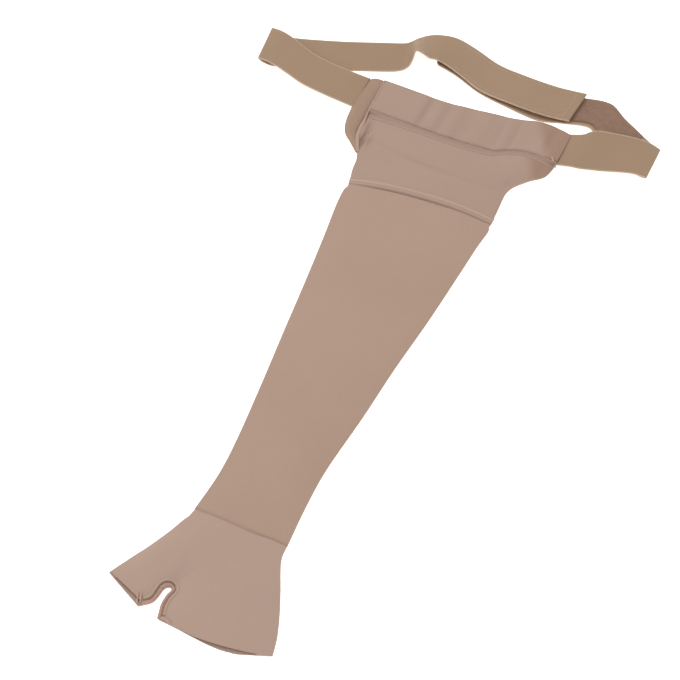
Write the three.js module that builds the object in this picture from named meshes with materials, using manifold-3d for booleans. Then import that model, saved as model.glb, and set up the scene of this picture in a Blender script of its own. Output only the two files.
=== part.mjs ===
// Arm compression sleeve with a hand gauntlet, a shoulder cap and a chest strap, lying flat.
// Lengths are in millimetres. +Y runs up the arm from the hand to the shoulder, +X to the right, +Z up.
import * as THREE from 'three';
import { mergeVertices } from 'three/addons/utils/BufferGeometryUtils.js';
import Module from 'manifold-3d';

// Driving sizes of the knitted tube
const ARM_LENGTH = 435;
const ARM_TOP_HALF = 82;
const TUBE_CROWN = 8.4;
const FOLD_RADIUS = 1.9;
const CLOTH = 1.3;

// Driving sizes of the hand end
const HAND_LENGTH = 105;
const PALM_HALF = 53;
const HAND_CROWN = 8.4;
const BINDING_THICK = 2.6;
const BINDING_PROUD = 0.3;

// Driving sizes of the shoulder end
const CAP_LENGTH = 95;
const BAND_WIDTH = 50;
const BAND_THICK = 2;
const BAND_LIFT = 7.1;
const PANEL_CROWN = 5;

// Driving sizes of the seams
const SEAM_WIDTH = 2.2;
const SEAM_PROUD = 0.25;
const HEM_WIDTH = 7;
const HEM_PROUD = 0.6;
const HEM_STEP_IN = 1;
const BAND_SEAM_WIDTH = 6;
const BAND_SEAM_PROUD = 0.3;

// Driving sizes of the strap and its fastening
const HOOK_REACH = 135;
const LOOP_REACH = 93;
const LOOP_DEPTH = 100;
const STRAP_LIFT = 10;
const STRAP_WIDTH = 50;
const STRAP_THICK = 1.5;
const HOOK_THICK = 1;
const HOOK_MARGIN = 3;
const LOOP_THICK = 1;
const LOOP_MARGIN_NEAR = 5;
const LOOP_MARGIN_FAR = 1.5;

// Clearance left between two pieces that touch in the real thing
const GAP = 0.3;

// How flat the upper layer of a tube lies: high powers are flat-topped
const LAYER_SHAPE = 2.6;

// Points round a flattened tube: along each layer, and round each fold
const LAYER_STEPS = 8;
const FOLD_STEPS = 5;

// Rings or stations along each piece
const STATIONS = { arm: 21, hand: 11, notch: 22, cap: 13, join: 31, panel: 11, hook: 70, loop: 61 };

// Smooth value between the rows of a table, by the rule that passes through every row
function between(rows, at) {
  const last = rows.length - 1;
  const place = Math.min(Math.max(at, 0), 1) * last;
  const i = Math.min(Math.floor(place), last - 1);
  const t = place - i;
  const pick = (k) => rows[Math.min(Math.max(k, 0), last)];
  return pick(i).map((_, c) => {
    const a = pick(i - 1)[c];
    const b = pick(i)[c];
    const d = pick(i + 1)[c];
    const e = pick(i + 2)[c];
    const pull = 2 * a - 5 * b + 4 * d - e;
    return b + 0.5 * t * (d - a + t * (pull + t * (3 * (b - d) + e - a)));
  });
}

// The smooth rows of a table, a chosen count from its first row to its last
function smoothed(rows, count) {
  return Array.from({ length: count }, (_, k) => between(rows, k / (count - 1)));
}

// Geometry from points and triangles, turned to face outwards
function geometryOf(points, faces) {
  let volume = 0;
  for (const [a, b, c] of faces) {
    volume += points[a].dot(new THREE.Vector3().crossVectors(points[b], points[c]));
  }
  const facing = volume > 0 ? faces : faces.map(([a, b, c]) => [a, c, b]);
  const geometry = new THREE.BufferGeometry();
  const flat = points.flatMap((p) => [p.x, p.y, p.z]);
  geometry.setAttribute('position', new THREE.Float32BufferAttribute(flat, 3));
  geometry.setIndex(facing.flat());
  geometry.computeVertexNormals();
  return geometry;
}

// Skin over a run of rings. Closed runs join the last ring to the first. Open ones are shut at both
// ends, with each point joined to the one that lies under it past the fold
function skin(rings, closed, fold = FOLD_STEPS) {
  const count = rings[0].length;
  const points = rings.flat();
  const faces = [];
  const runs = closed ? rings.length : rings.length - 1;
  for (let r = 0; r < runs; r += 1) {
    const next = (r + 1) % rings.length;
    for (let k = 0; k < count; k += 1) {
      const side = (k + 1) % count;
      faces.push([r * count + k, r * count + side, next * count + side]);
      faces.push([r * count + k, next * count + side, next * count + k]);
    }
  }
  if (!closed) {
    const layer = count / 2 - fold;
    const half = Math.floor(fold / 2);
    const turnOver = 2 * layer + fold;
    for (const [r, flip] of [[0, true], [rings.length - 1, false]]) {
      for (let k = -half; k < layer + half; k += 1) {
        const corners = [k, k + 1, turnOver - k - 1, turnOver - k].map((i) => (i + count) % count);
        for (const [a, b, c] of [[0, 1, 2], [0, 2, 3]]) {
          const face = [corners[a], corners[b], corners[c]];
          if (new Set(face).size < 3) continue;
          faces.push((flip ? face.reverse() : face).map((i) => r * count + i));
        }
      }
    }
  }
  return geometryOf(points, faces);
}

// One ring of a flattened tube between its left and right folds, drawn in by an inset.
// Row columns: left x, left y, right x, right y, crown height, bow of the row along the arm
function flatRing(row, inset, edge = FOLD_RADIUS) {
  const [leftX, leftY, rightX, rightY, crown, bow] = row;
  const span = Math.hypot(rightX - leftX, rightY - leftY);
  const turn = edge - inset;
  const ring = [];
  const put = (reach, height) => {
    const share = reach / span;
    const arch = bow * (1 - (2 * share - 1) ** 2);
    const x = leftX + (rightX - leftX) * share;
    const y = leftY + (rightY - leftY) * share + arch;
    ring.push(new THREE.Vector3(x, y, height));
  };
  const rise = (reach) => {
    const share = Math.abs((2 * (reach - edge)) / (span - 2 * edge) - 1);
    return (crown - 2 * edge) * (1 - share ** LAYER_SHAPE);
  };
  for (let k = 0; k <= LAYER_STEPS; k += 1) {
    const reach = edge + ((span - 2 * edge) * k) / LAYER_STEPS;
    put(reach, 2 * edge - inset + rise(reach));
  }
  for (let k = 1; k < FOLD_STEPS; k += 1) {
    const angle = (Math.PI * k) / FOLD_STEPS;
    put(span - edge + turn * Math.sin(angle), edge + turn * Math.cos(angle));
  }
  for (let k = LAYER_STEPS; k >= 0; k -= 1) {
    put(edge + ((span - 2 * edge) * k) / LAYER_STEPS, inset);
  }
  for (let k = 1; k < FOLD_STEPS; k += 1) {
    const angle = (Math.PI * k) / FOLD_STEPS;
    put(edge - turn * Math.sin(angle), edge - turn * Math.cos(angle));
  }
  return ring;
}

// A cloth tube lying flat, open at both ends
function flatTube(rows, count, wall = CLOTH, edge = FOLD_RADIUS) {
  const run = smoothed(rows, count);
  const outer = run.map((row) => flatRing(row, 0, edge));
  const inner = run.map((row) => flatRing(row, wall, edge)).reverse();
  return skin([...outer, ...inner], true);
}

// A ribbon between two edge lines, with its thickness set square to them.
// Each station holds the far edge and the near edge as points
function ribbon(stations, thickness, steps = 1, sink = 0) {
  const rings = stations.map(([far, near], i) => {
    const before = stations[Math.max(i - 1, 0)];
    const after = stations[Math.min(i + 1, stations.length - 1)];
    const along = new THREE.Vector3().addVectors(after[0], after[1]).sub(before[0]).sub(before[1]);
    const across = new THREE.Vector3().subVectors(far, near);
    const normal = new THREE.Vector3().crossVectors(along, across).normalize();
    const ring = [];
    for (const [lift, from, to] of [[sink + thickness / 2, far, near], [sink - thickness / 2, near, far]]) {
      for (let k = 0; k <= steps; k += 1) {
        ring.push(new THREE.Vector3().lerpVectors(from, to, k / steps).addScaledVector(normal, lift));
      }
    }
    return ring;
  });
  return skin(rings, false, 1);
}

// Index for a geometry that has none, so that it can be welded
function weldedIndex(geometry) {
  geometry.deleteAttribute('normal');
  geometry.deleteAttribute('uv');
  return mergeVertices(geometry, 1e-4);
}

// Union and cut of solids, through the exact solid library
const solids = await Module();
solids.setup();
function toSolid(geometry) {
  const bare = new THREE.BufferGeometry();
  bare.setAttribute('position', geometry.getAttribute('position').clone());
  bare.setIndex(geometry.getIndex().clone());
  const merged = mergeVertices(bare, 1e-4);
  const vertProperties = new Float32Array(merged.getAttribute('position').array);
  const triVerts = new Uint32Array(merged.getIndex().array);
  return new solids.Manifold(new solids.Mesh({ numProp: 3, vertProperties, triVerts }));
}
function fromSolid(solid) {
  const mesh = solid.getMesh();
  const geometry = new THREE.BufferGeometry();
  geometry.setAttribute('position', new THREE.Float32BufferAttribute(Array.from(mesh.vertProperties), 3));
  geometry.setIndex(Array.from(mesh.triVerts));
  geometry.computeVertexNormals();
  return geometry;
}

// Pieces, each with its own cloth
const garment = new THREE.Group();
garment.name = 'arm_compression_sleeve';
function piece(name, geometry, color, roughness) {
  const material = new THREE.MeshStandardMaterial({ color, roughness, metalness: 0 });
  material.name = name;
  const mesh = new THREE.Mesh(geometry, material);
  mesh.name = name;
  garment.add(mesh);
  return mesh;
}
const KNIT = 0xb29787;
const KNIT_HAND = 0xb3998a;
const KNIT_DARK = 0xa58673;
const BAND_PINK = 0xb29b8c;
const SEAM_TONE = 0x9c7f6c;
const ELASTIC = 0xa78d74;
const VELOUR = 0x8d7261;
const HOOK = 0x97806a;

// Arm tube. Columns: share of the arm's length, left and right folds as shares of the half width at
// the top, crown as a share of the tube's crown
const ARM_ROWS = [
  [0.005, -0.53, 0.555, 0.93],
  [0.1, -0.52, 0.56, 0.96],
  [0.2, -0.535, 0.575, 1],
  [0.35, -0.62, 0.66, 1],
  [0.5, -0.715, 0.745, 1],
  [0.65, -0.8, 0.845, 1],
  [0.8, -0.895, 0.925, 1],
  [0.9, -0.965, 0.975, 1],
  [0.955, -0.985, 1.015, 1],
  [0.97, -0.965, 1, 1],
];
const HEM_SLANT = 9;
const TOP_BOW = 4;
const WRIST_BOW = 3;
const armRow = ([along, left, right, crown]) => {
  const lean = HEM_SLANT * along ** 3;
  const y = ARM_LENGTH * along;
  const bow = TOP_BOW * along ** 3 - WRIST_BOW * (1 - along) ** 4;
  return [ARM_TOP_HALF * left, y - lean / 2, ARM_TOP_HALF * right, y + lean / 2, TUBE_CROWN * crown, bow];
};
piece('arm_sleeve', flatTube(ARM_ROWS.map(armRow), STATIONS.arm), KNIT, 0.95);

// Ridge over the join of two tubes: a ring a little proud of both, round the whole tube.
// Profile columns: place across the ridge as a share of its width, height as a share of how proud it is
function ridge(row, width, proud, profile) {
  const rowAt = (shift, extra) => {
    const [lx, ly, rx, ry, crown, bow] = row;
    return [lx - extra, ly + shift, rx + extra, ry + shift, crown + extra, bow];
  };
  const outer = profile.map(([share, height]) => flatRing(rowAt(width * share, proud * height), 0));
  const ends = [profile[profile.length - 1], profile[0]];
  const inner = ends.map(([share, height]) => flatRing(rowAt(width * share, proud * height), CLOTH));
  return skin([...outer, ...inner], true);
}
const wristRow = between(ARM_ROWS.map(armRow), 0);
wristRow[1] -= SEAM_WIDTH / 2 + GAP;
wristRow[3] -= SEAM_WIDTH / 2 + GAP;
const FLAT_PROFILE = [[-0.5, 0.3], [-0.25, 1], [0.25, 1], [0.5, 0.3]];
piece('wrist_seam', ridge(wristRow, SEAM_WIDTH, SEAM_PROUD, FLAT_PROFILE), SEAM_TONE, 0.95);

const hemRow = between(ARM_ROWS.map(armRow), 1);
hemRow[1] += HEM_WIDTH / 2 + GAP;
hemRow[3] += HEM_WIDTH / 2 + GAP;
hemRow[0] += HEM_STEP_IN;
const RIDGED_PROFILE = [
  [-0.5, 0.2],
  [-0.38, 1],
  [-0.2, 1],
  [-0.06, 0.25],
  [0.06, 0.25],
  [0.2, 1],
  [0.38, 1],
  [0.5, 0.2],
];
piece('cap_hem', ridge(hemRow, HEM_WIDTH, HEM_PROUD, RIDGED_PROFILE), KNIT_DARK, 0.95);

// Hand end: a palm tube and a thumb tube that share the wrist. Columns: left x, left y, right x and
// right y as shares of the palm's half width and of the hand's length, crown and bow as shares of theirs
const PALM_BOW = 6;
const THUMB_ROOT = 0.3;
const REACH_PAST = 1.5;
const handRow = ([leftX, leftY, rightX, rightY, crown, bow]) => [
  PALM_HALF * leftX, -HAND_LENGTH * leftY,
  PALM_HALF * rightX, -HAND_LENGTH * rightY,
  HAND_CROWN * crown, -PALM_BOW * bow];
const wristEnd = [...wristRow];
wristEnd[1] -= SEAM_WIDTH / 2 + GAP;
wristEnd[3] -= SEAM_WIDTH / 2 + GAP;
const thumbStart = [...wristEnd];
thumbStart[1] -= 2 * WRIST_BOW;
thumbStart[2] = PALM_HALF * THUMB_ROOT;
thumbStart[3] -= 2 * WRIST_BOW;
thumbStart[5] = 0;
const PALM_ROWS = [
  [-0.72, 0.18, 0.9, 0.17, 0.95, 0.5],
  [-0.6, 0.4, 1.06, 0.4, 0.98, 0.5],
  [-0.5, 0.6, 1.27, 0.6, 1, 0.5],
  [-0.42, 0.76, 1.42, 0.76, 1, 0.7],
  [-0.43, 0.9, 1.49, 0.86, 1, 0.8],
  [-0.38, 1.03, 1.52, 0.94, 1, 1],
];
const THUMB_ROWS = [
  [-0.9, 0.13, 0.2, 0.25, 0.9, 0],
  [-1.02, 0.28, -0.05, 0.5, 0.92, 0],
  [-1.2, 0.48, -0.48, 0.7, 0.94, 0],
  [-1.36, 0.63, -0.7, 0.8, 0.96, 0],
  [-1.56, 0.82, -0.89, 0.945, 0.96, 0],
];
const extended = (rows, reach) => {
  const last = rows[rows.length - 1];
  const previous = rows[rows.length - 2];
  return last.map((value, c) => (c < 4 ? value + (value - previous[c]) * reach : value));
};
function handSolid(start, rows, inset) {
  const run = smoothed([start, ...rows.map(handRow)], STATIONS.hand);
  if (inset > 0) {
    run.push(extended(run, REACH_PAST));
    run.unshift(extended([...run].reverse(), REACH_PAST));
  }
  return toSolid(skin(run.map((row) => flatRing(row, inset)), false));
}

// Bound edge round the notch between thumb and palm. Columns: x as a share of the palm's half width,
// y as a share of the hand's length
const NOTCH_PATH = [
  [-0.87, 0.985],
  [-0.79, 0.93],
  [-0.715, 0.86],
  [-0.66, 0.79],
  [-0.58, 0.735],
  [-0.49, 0.745],
  [-0.46, 0.8],
  [-0.49, 0.87],
  [-0.48, 0.95],
  [-0.44, 1.025],
];
const notchPoint = ([x, y]) => new THREE.Vector2(PALM_HALF * x, -HAND_LENGTH * y);
const notchRun = smoothed(NOTCH_PATH, STATIONS.notch).map(notchPoint);
const wallAlong = (path, foot, top, thickness) => toSolid(ribbon(path.map((p) => [
  new THREE.Vector3(p.x, p.y, top), new THREE.Vector3(p.x, p.y, foot)]), thickness));
const stretchedPath = [...notchRun];
const pathEnd = (a, b) => new THREE.Vector2().subVectors(a, b).multiplyScalar(REACH_PAST).add(a);
stretchedPath.unshift(pathEnd(notchRun[0], notchRun[1]));
stretchedPath.push(pathEnd(notchRun.at(-1), notchRun.at(-2)));
const BINDING_TOP = 2 * FOLD_RADIUS + BINDING_PROUD;
piece('thumb_web_binding', fromSolid(wallAlong(notchRun, 0, BINDING_TOP, BINDING_THICK)), KNIT_DARK, 0.95);

// The hand's cloth stops short of that bound edge, and nothing is left inside the notch
const mouth = new THREE.Shape(stretchedPath);
const mouthGeometry = new THREE.ExtrudeGeometry(mouth, { depth: 3 * HAND_CROWN, bevelEnabled: false });
mouthGeometry.translate(0, 0, -HAND_CROWN);
const mouthSolid = toSolid(weldedIndex(mouthGeometry));
const roomWidth = BINDING_THICK + 2 * GAP;
const room = wallAlong(stretchedPath, -HAND_CROWN, 2 * HAND_CROWN, roomWidth);
const wallRoom = wallAlong(stretchedPath, -HAND_CROWN, 2 * HAND_CROWN, roomWidth + 2 * CLOTH);
function bothTubes(inset) {
  const palm = handSolid(wristEnd, PALM_ROWS, inset);
  const thumb = handSolid(thumbStart, THUMB_ROWS, inset);
  return palm.add(thumb);
}
const handOuter = bothTubes(0).subtract(mouthSolid).subtract(room);
const handInner = bothTubes(CLOTH).subtract(wallRoom);
piece('hand_gauntlet', fromSolid(handOuter.subtract(handInner)), KNIT_HAND, 0.95);

// Shoulder cap: the tube goes on above the hem and spreads to the width of the band. Columns: left x,
// left y, right x, right y as shares of the arm's half width and of the cap's length from the hem, then
// the crown and the bow as shares of the tube's crown and the cap's length
const CAP_ROWS = [
  [-0.973, 0, 1.008, 0, 1, 0.04],
  [-1.031, 0.2, 1.008, 0.2, 1, 0.03],
  [-1.083, 0.39, 1.02, 0.42, 1, 0.01],
  [-1.17, 0.52, 1.101, 0.58, 1, 0],
  [-1.234, 0.66, 1.263, 0.73, 1, 0],
  [-1.257, 0.86, 1.39, 0.9, 0.97, 0],
  [-1.257, 1.2, 1.448, 1.2, 0.93, 0],
];
const capLeftY = hemRow[1] + HEM_WIDTH / 2 + GAP;
const capRightY = hemRow[3] + HEM_WIDTH / 2 + GAP;
const capRow = ([leftX, leftY, rightX, rightY, crown, bow]) => [
  ARM_TOP_HALF * leftX, capLeftY + CAP_LENGTH * leftY,
  ARM_TOP_HALF * rightX, capRightY + CAP_LENGTH * rightY,
  TUBE_CROWN * crown, CAP_LENGTH * bow];
const capRun = smoothed(CAP_ROWS.map(capRow), STATIONS.cap);
const capTube = toSolid(flatTube(CAP_ROWS.map(capRow), STATIONS.cap));

// The layer under the arm stops lower, along a plain curved edge
const ARMHOLE_DEPTH = 72;
const ARMHOLE_MARGIN = 9;
const ARMHOLE_ROUND = 0.7;
const ARMHOLE_STEPS = 20;
const armhole = new THREE.Shape();
const capTop = capRun.at(-1);
const armholeHalf = (capTop[2] - capTop[0]) / 2 - ARMHOLE_MARGIN;
const armholeX = (capTop[2] + capTop[0]) / 2;
const armholeY = Math.max(capTop[1], capTop[3]);
for (let k = 0; k <= ARMHOLE_STEPS; k += 1) {
  const angle = Math.PI * (1 + k / ARMHOLE_STEPS);
  const across = Math.cos(angle);
  const x = armholeX + armholeHalf * Math.sign(across) * Math.abs(across) ** ARMHOLE_ROUND;
  const y = armholeY + ARMHOLE_DEPTH * Math.sin(angle);
  if (k === 0) armhole.moveTo(x, y);
  else armhole.lineTo(x, y);
}
const armholeGeometry = new THREE.ExtrudeGeometry(armhole, { depth: 2 * CLOTH + 1, bevelEnabled: false });
armholeGeometry.translate(0, 0, -1 - CLOTH / 2);
const armholeSolid = toSolid(weldedIndex(armholeGeometry));

// Line of the join between cap and band. Columns: x as a share of the arm's half width, y as a share
// of the cap's length from the hem
const JOIN_ROWS = [
  [-1.254, 1.06],
  [-1.043, 1.045],
  [-0.695, 1.025],
  [-0.348, 1.005],
  [0, 0.995],
  [0.348, 1],
  [0.602, 1.015],
  [0.788, 1.1],
  [0.985, 1.15],
  [1.216, 1.155],
  [1.442, 1.145],
];
const joinBase = (capLeftY + capRightY) / 2;
const BAND_WAVES = 0.6;
const BAND_WAVE_PACE = 0.9;
const joinRun = smoothed(JOIN_ROWS, STATIONS.join).map(([x, y], k) => {
  const fade = Math.sin((Math.PI * k) / (STATIONS.join - 1));
  const wave = BAND_WAVES * Math.sin(k * BAND_WAVE_PACE) * fade;
  return new THREE.Vector3(ARM_TOP_HALF * x, joinBase + CAP_LENGTH * y, BAND_LIFT + wave);
});
const BAND_LEAN = 0.35;
function acrossBand(p, k, reach, drop) {
  const a = joinRun[Math.max(k - 1, 0)];
  const b = joinRun[Math.min(k + 1, joinRun.length - 1)];
  const side = new THREE.Vector3(a.y - b.y, b.x - a.x, 0).normalize();
  side.x *= BAND_LEAN;
  return p.clone().addScaledVector(side, reach).add(new THREE.Vector3(0, 0, -drop));
}
// The cap ends just under that join
const above = joinRun.map((p, k) => acrossBand(p, k, -BAND_SEAM_WIDTH / 2 - GAP, 0));
const capEnd = new THREE.Shape();
const aboveLeft = above[0];
const aboveRight = above.at(-1);
capEnd.moveTo(aboveLeft.x - CAP_LENGTH, aboveLeft.y);
above.forEach((p) => capEnd.lineTo(p.x, p.y));
capEnd.lineTo(aboveRight.x + CAP_LENGTH, aboveRight.y);
capEnd.lineTo(aboveRight.x + CAP_LENGTH, aboveRight.y + CAP_LENGTH);
capEnd.lineTo(aboveLeft.x - CAP_LENGTH, aboveLeft.y + CAP_LENGTH);
const capEndGeometry = new THREE.ExtrudeGeometry(capEnd, { depth: 4 * TUBE_CROWN, bevelEnabled: false });
capEndGeometry.translate(0, 0, -TUBE_CROWN);
const capSolid = capTube.subtract(armholeSolid).subtract(toSolid(weldedIndex(capEndGeometry)));
piece('shoulder_cap', fromSolid(capSolid), BAND_PINK, 0.95);

const seamEdges = joinRun.map((p, k) => [
  acrossBand(p, k, BAND_SEAM_WIDTH / 2, 0),
  acrossBand(p, k, -BAND_SEAM_WIDTH / 2, 0)]);
piece('band_seam', ribbon(seamEdges, BAND_THICK + 2 * BAND_SEAM_PROUD), SEAM_TONE, 0.95);

// Band: a wide elastic strip above that join, sinking a little to its free edge
const BAND_DROP = 1;
const bandFoot = BAND_SEAM_WIDTH / 2 + GAP;
const bandTop = bandFoot + BAND_WIDTH - BAND_SEAM_WIDTH;
const bandEdges = joinRun.map((p, k) => [
  acrossBand(p, k, bandTop, BAND_DROP),
  acrossBand(p, k, bandFoot, 0)]);
piece('top_band', ribbon(bandEdges, BAND_THICK, 3), BAND_PINK, 0.9);

// Panel that comes round from the back on the left: a folded lobe beside the cap, and above it the
// end that the strap is sewn to. Columns: as the cap's, but the last is a share of the band's width
const PANEL_CLOTH = 1.1;
const PANEL_FOLD = 1.6;
const PANEL_ROWS = [
  [-1.159, 0.47, -1.106, 0.49, 0.8, 0],
  [-1.321, 0.6, -1.222, 0.63, 1, 0],
  [-1.425, 0.7, -1.266, 0.76, 1, 0],
  [-1.466, 0.85, -1.265, 0.9, 1, 0],
  [-1.506, 1.07, -1.267, 1.06, 1, 0],
  [-1.518, 1.06, -1.274, 1.06, 1, 0.51],
  [-1.495, 1.06, -1.28, 1.08, 1, 0.93],
];
const panelRow = ([leftX, leftY, rightX, rightY, crown, up]) => [
  ARM_TOP_HALF * leftX, capLeftY + CAP_LENGTH * leftY + BAND_WIDTH * up,
  ARM_TOP_HALF * rightX, capLeftY + CAP_LENGTH * rightY + BAND_WIDTH * up,
  PANEL_CROWN * crown, 0];
const capRoom = toSolid(skin(capRun.map((row) => flatRing(row, -GAP)), false));
const panelTube = toSolid(flatTube(PANEL_ROWS.map(panelRow), STATIONS.panel, PANEL_CLOTH, PANEL_FOLD));
piece('side_panel', fromSolid(panelTube.subtract(capRoom)), KNIT_DARK, 0.95);

// Strap stations. Columns: x and y of the ribbon's middle from where it is sewn on, as shares of its
// reach to the fold and of the loop's depth, the turn of its width to the left of +Y in degrees, the
// height of its far and near edges as shares of its lift, and how far it lies on top of the other half
const HOOK_STRAP = [
  [0, 0, 1, 0.2, 0.2, 0],
  [-0.24, 0.005, 1, 0.46, 0.56, 0],
  [-0.484, 0.06, 0, 0.58, 0.73, 0],
  [-0.659, 0.145, 0, 0.68, 0.83, 0],
  [-0.781, 0.21, 1, 0.88, 0.78, 0],
  [-0.896, 0.265, 3, 1.03, 0.62, 0],
  [-0.996, 0.295, 6, 0.78, 0.34, 0],
  [-0.918, 0.28, 4, 0.42, 0.04, 0],
  [-0.807, 0.29, 3, 0.22, 0.03, 0],
  [-0.421, 0.455, 2, 0.17, 0.03, 0],
  [-0.062, 0.65, 7, 0.09, 0.03, 0],
  [0.141, 0.76, 12.5, 0.03, 0.17, 0],
  [0.216, 0.815, 19, 0.04, 0.68, 0],
  [0.245, 0.85, 20, 0.17, 1.57, 0],
  [0.267, 0.885, 19, 0.42, 2.62, 0],
  [0.308, 0.905, 22, 0.49, 2.34, 0.3],
  [0.367, 0.955, 20, 0.51, 1.46, 0.6],
  [0.43, 1, 15, 0.44, 1.07, 0.8],
  [0.534, 1.03, 4.5, 0.29, 0.64, 1],
  [0.704, 0.96, 0.5, 0.24, 0.34, 1],
  [0.938, 0.815, -5.5, 0.18, 0.39, 1],
  [1.186, 0.76, 0.5, 0.21, 0.37, 1],
  [1.49, 0.725, -2.5, 0.24, 0.34, 1],
  [1.741, 0.75, -6.5, 0.3, 0.37, 1],
];
const LOOP_STRAP = [
  [0, 0, 0, 0.475, 0.575, 0],
  [0.126, 0.035, 0.5, 0.725, 0.475, 0],
  [0.223, 0.055, 5.5, 1.225, 0.375, 0],
  [0.336, 0.09, 10.5, 1.575, 0.275, 0],
  [0.47, 0.12, 8, 1.475, 0.345, 0],
  [0.696, 0.175, 4, 1.175, 0.525, 0],
  [0.863, 0.2, -2, 0.875, 0.625, 0],
  [1.003, 0.2, -2.5, 0.375, 0.605, 0],
  [0.927, 0.26, -2.5, 0.125, 0.175, 0],
  [0.772, 0.325, -12, 0.045, 0.065, 0],
  [0.567, 0.445, -20, 0.025, 0.225, 0],
  [0.395, 0.555, -20, 0.025, 0.425, 0],
  [0.239, 0.69, -16, 0.025, 0.325, 0],
  [0.126, 0.715, -15, 0.025, 0.175, 0],
  [0.019, 0.705, -14.5, 0.025, 0.055, 0],
  [-0.159, 0.665, -11.5, 0.025, 0.055, 0],
  [-0.476, 0.61, -5, 0.075, 0.025, 0],
  [-0.922, 0.67, -6, 0.065, 0.025, 0],
  [-1.277, 0.74, -6, 0.025, 0.125, 0],
  [-1.659, 0.895, -3, 0.025, 0.225, 0],
  [-1.831, 0.96, -2, 0.025, 0.425, 0],
];
// Far and near edge of the ribbon at a station, always one strap width apart
const STACK = STRAP_THICK + LOOP_THICK + HOOK_THICK + 3 * GAP;
function strapEdges(anchor, reach, [x, y, turn, far, near, stacked]) {
  const lift = (STRAP_LIFT * (far - near)) / 2;
  const flat = Math.sqrt((STRAP_WIDTH / 2) ** 2 - lift ** 2);
  const angle = THREE.MathUtils.degToRad(turn);
  const height = STRAP_THICK / 2 + STACK * stacked + (STRAP_LIFT * (far + near)) / 2;
  const middle = new THREE.Vector3(anchor.x + reach * x, anchor.y + LOOP_DEPTH * y, height);
  const side = new THREE.Vector3(-Math.sin(angle) * flat, Math.cos(angle) * flat, lift);
  return [middle.clone().add(side), middle.clone().sub(side)];
}
const panelEnd = panelRow(PANEL_ROWS[5])[0];
const hookAnchor = new THREE.Vector2(panelEnd - 2 * GAP, joinRun[0].y + BAND_WIDTH / 2);
const bandEndX = Math.max(...bandEdges.at(-1).map((p) => p.x));
const loopAnchor = new THREE.Vector2(bandEndX + 2 * GAP, joinRun.at(-1).y + BAND_WIDTH / 2);
const hookRows = smoothed(HOOK_STRAP, STATIONS.hook);
const loopRows = smoothed(LOOP_STRAP, STATIONS.loop);
const hookRun = hookRows.map((row) => strapEdges(hookAnchor, HOOK_REACH, row));
const loopRun = loopRows.map((row) => strapEdges(loopAnchor, LOOP_REACH, row));
piece('strap_hook_end', ribbon(hookRun, STRAP_THICK), ELASTIC, 0.85);
piece('strap_loop_end', ribbon(loopRun, STRAP_THICK), ELASTIC, 0.85);

// Hook patch under the strap's free end, and loop patch on the face that it presses on. Each covers
// a part of its strap, given as shares of the strap's length, and keeps off both its edges
const HOOK_COVER = [0.81, 0.985];
const LOOP_COVER = [0.45, 1];
function patch(run, [from, to], farMargin, nearMargin, thickness) {
  const last = run.length - 1;
  const edges = run.slice(Math.round(from * last), Math.round(to * last) + 1).map(([far, near]) => {
    const side = new THREE.Vector3().subVectors(far, near).normalize();
    return [far.clone().addScaledVector(side, -farMargin), near.clone().addScaledVector(side, nearMargin)];
  });
  return ribbon(edges, thickness, 1, -(STRAP_THICK + thickness) / 2 - GAP);
}
piece('hook_patch', patch(hookRun, HOOK_COVER, HOOK_MARGIN, HOOK_MARGIN, HOOK_THICK), HOOK, 0.9);
const loopPatch = patch(loopRun, LOOP_COVER, LOOP_MARGIN_FAR, LOOP_MARGIN_NEAR, LOOP_THICK);
piece('loop_patch', loopPatch, VELOUR, 1);

// The row's origin is at the middle of the base
garment.updateMatrixWorld(true);
const extent = new THREE.Box3().setFromObject(garment, true);
const centre = extent.getCenter(new THREE.Vector3());
garment.position.set(-centre.x, -centre.y, -extent.min.z);

export default garment;
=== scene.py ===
# %% [markdown]
# # Arm compression sleeve, lying flat
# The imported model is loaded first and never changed. Each cloth piece below takes the place of the plain
# solid of the same name, in the same frame, so nothing has to be fitted afterwards.

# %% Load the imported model
import math
import bmesh
import bpy
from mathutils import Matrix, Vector, noise
from mathutils.bvhtree import BVHTree


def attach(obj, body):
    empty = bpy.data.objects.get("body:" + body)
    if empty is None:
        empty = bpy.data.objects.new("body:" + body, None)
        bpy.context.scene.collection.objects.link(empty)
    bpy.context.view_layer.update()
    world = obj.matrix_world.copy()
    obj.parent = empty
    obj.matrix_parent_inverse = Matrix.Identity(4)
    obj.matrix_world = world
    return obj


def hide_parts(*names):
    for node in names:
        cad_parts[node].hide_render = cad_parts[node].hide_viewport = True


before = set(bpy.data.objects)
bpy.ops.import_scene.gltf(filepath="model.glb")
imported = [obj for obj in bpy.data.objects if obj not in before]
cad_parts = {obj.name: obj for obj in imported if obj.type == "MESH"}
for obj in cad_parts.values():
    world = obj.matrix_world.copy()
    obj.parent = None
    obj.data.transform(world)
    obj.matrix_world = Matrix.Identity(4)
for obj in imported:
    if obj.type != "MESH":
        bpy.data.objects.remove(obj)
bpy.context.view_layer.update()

# %% [markdown]
# Every size below is in millimetres, measured from the middle of the wrist seam, with Y up the arm.
# One function turns such a point into metres in the model's own frame, so that the tables stay readable.

# %% Frame and driving sizes
ORIGIN_SHIFT = Vector((24.019, -286.989, 0.0))
ARM_LENGTH, ARM_TOP_HALF, TUBE_CROWN = 435.0, 82.0, 8.4
FOLD_RADIUS, CLOTH = 1.9, 1.3
HAND_LENGTH, PALM_HALF = 105.0, 53.0
CAP_LENGTH, BAND_WIDTH, BAND_LIFT = 95.0, 50.0, 7.1
SEAM_WIDTH, HEM_WIDTH, BAND_SEAM_WIDTH, GAP = 2.2, 7.0, 6.0, 0.3
STRAP_WIDTH, STRAP_THICK, STRAP_LIFT = 50.0, 1.5, 10.0
HOOK_REACH, LOOP_REACH, LOOP_DEPTH = 135.0, 93.0, 100.0


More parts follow.
